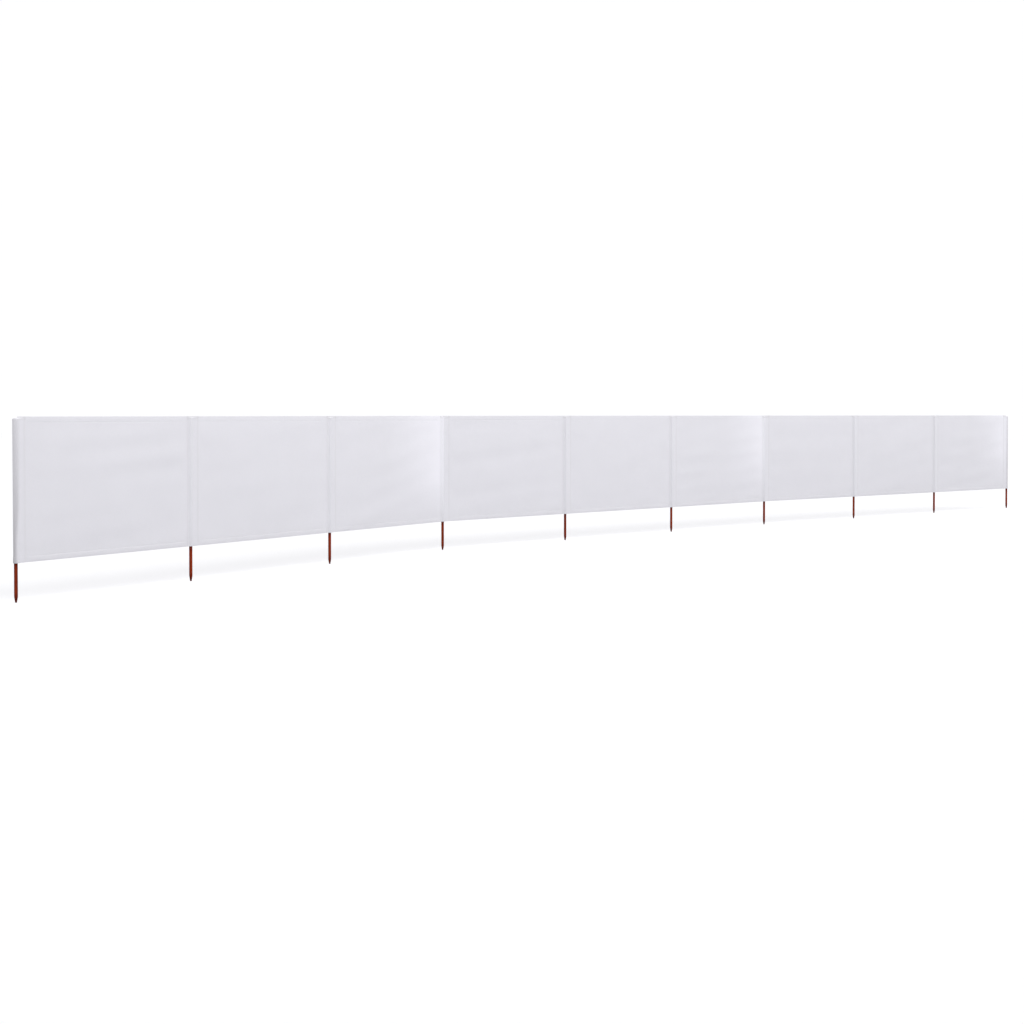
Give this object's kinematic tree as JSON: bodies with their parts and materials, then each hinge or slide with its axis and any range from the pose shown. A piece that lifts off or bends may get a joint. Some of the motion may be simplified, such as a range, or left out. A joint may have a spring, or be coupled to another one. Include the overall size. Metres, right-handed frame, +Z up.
{
  "type": "beach windbreak",
  "caption": "Long low beach windbreak of white cloth bays sewn between sleeves on pointed red-brown wooden poles, set out in straight runs that turn slightly.",
  "frame": {"origin": "centre of the blunt tip of the first pole, at the left end seen from the sheltered side", "axes": "+X from the first pole to the last, +Z up, -Y the sheltered side that the ends turn towards"},
  "size_m": [11.9248, 0.7189, 1.015],
  "materials": {
    "pole_wood": "red-brown stain, satin",
    "cloth": "cool white plain weave"
  },
  "bodies": {
    "root": {"pole_1": "pole_wood", "pole_2": "pole_wood", "pole_3": "pole_wood", "pole_4": "pole_wood", "pole_5": "pole_wood", "pole_6": "pole_wood", "pole_7": "pole_wood", "pole_8": "pole_wood", "pole_9": "pole_wood", "pole_10": "pole_wood", "pole_pocket_1": "cloth", "pole_pocket_2": "cloth", "pole_pocket_3": "cloth", "pole_pocket_4": "cloth", "pole_pocket_5": "cloth", "pole_pocket_6": "cloth", "pole_pocket_7": "cloth", "pole_pocket_8": "cloth", "pole_pocket_9": "cloth", "pole_pocket_10": "cloth", "cloth_panel_1": "cloth", "cloth_panel_2": "cloth", "cloth_panel_3": "cloth", "cloth_panel_4": "cloth", "cloth_panel_5": "cloth", "cloth_panel_6": "cloth", "cloth_panel_7": "cloth", "cloth_panel_8": "cloth", "cloth_panel_9": "cloth"}
  },
  "joints": []
}
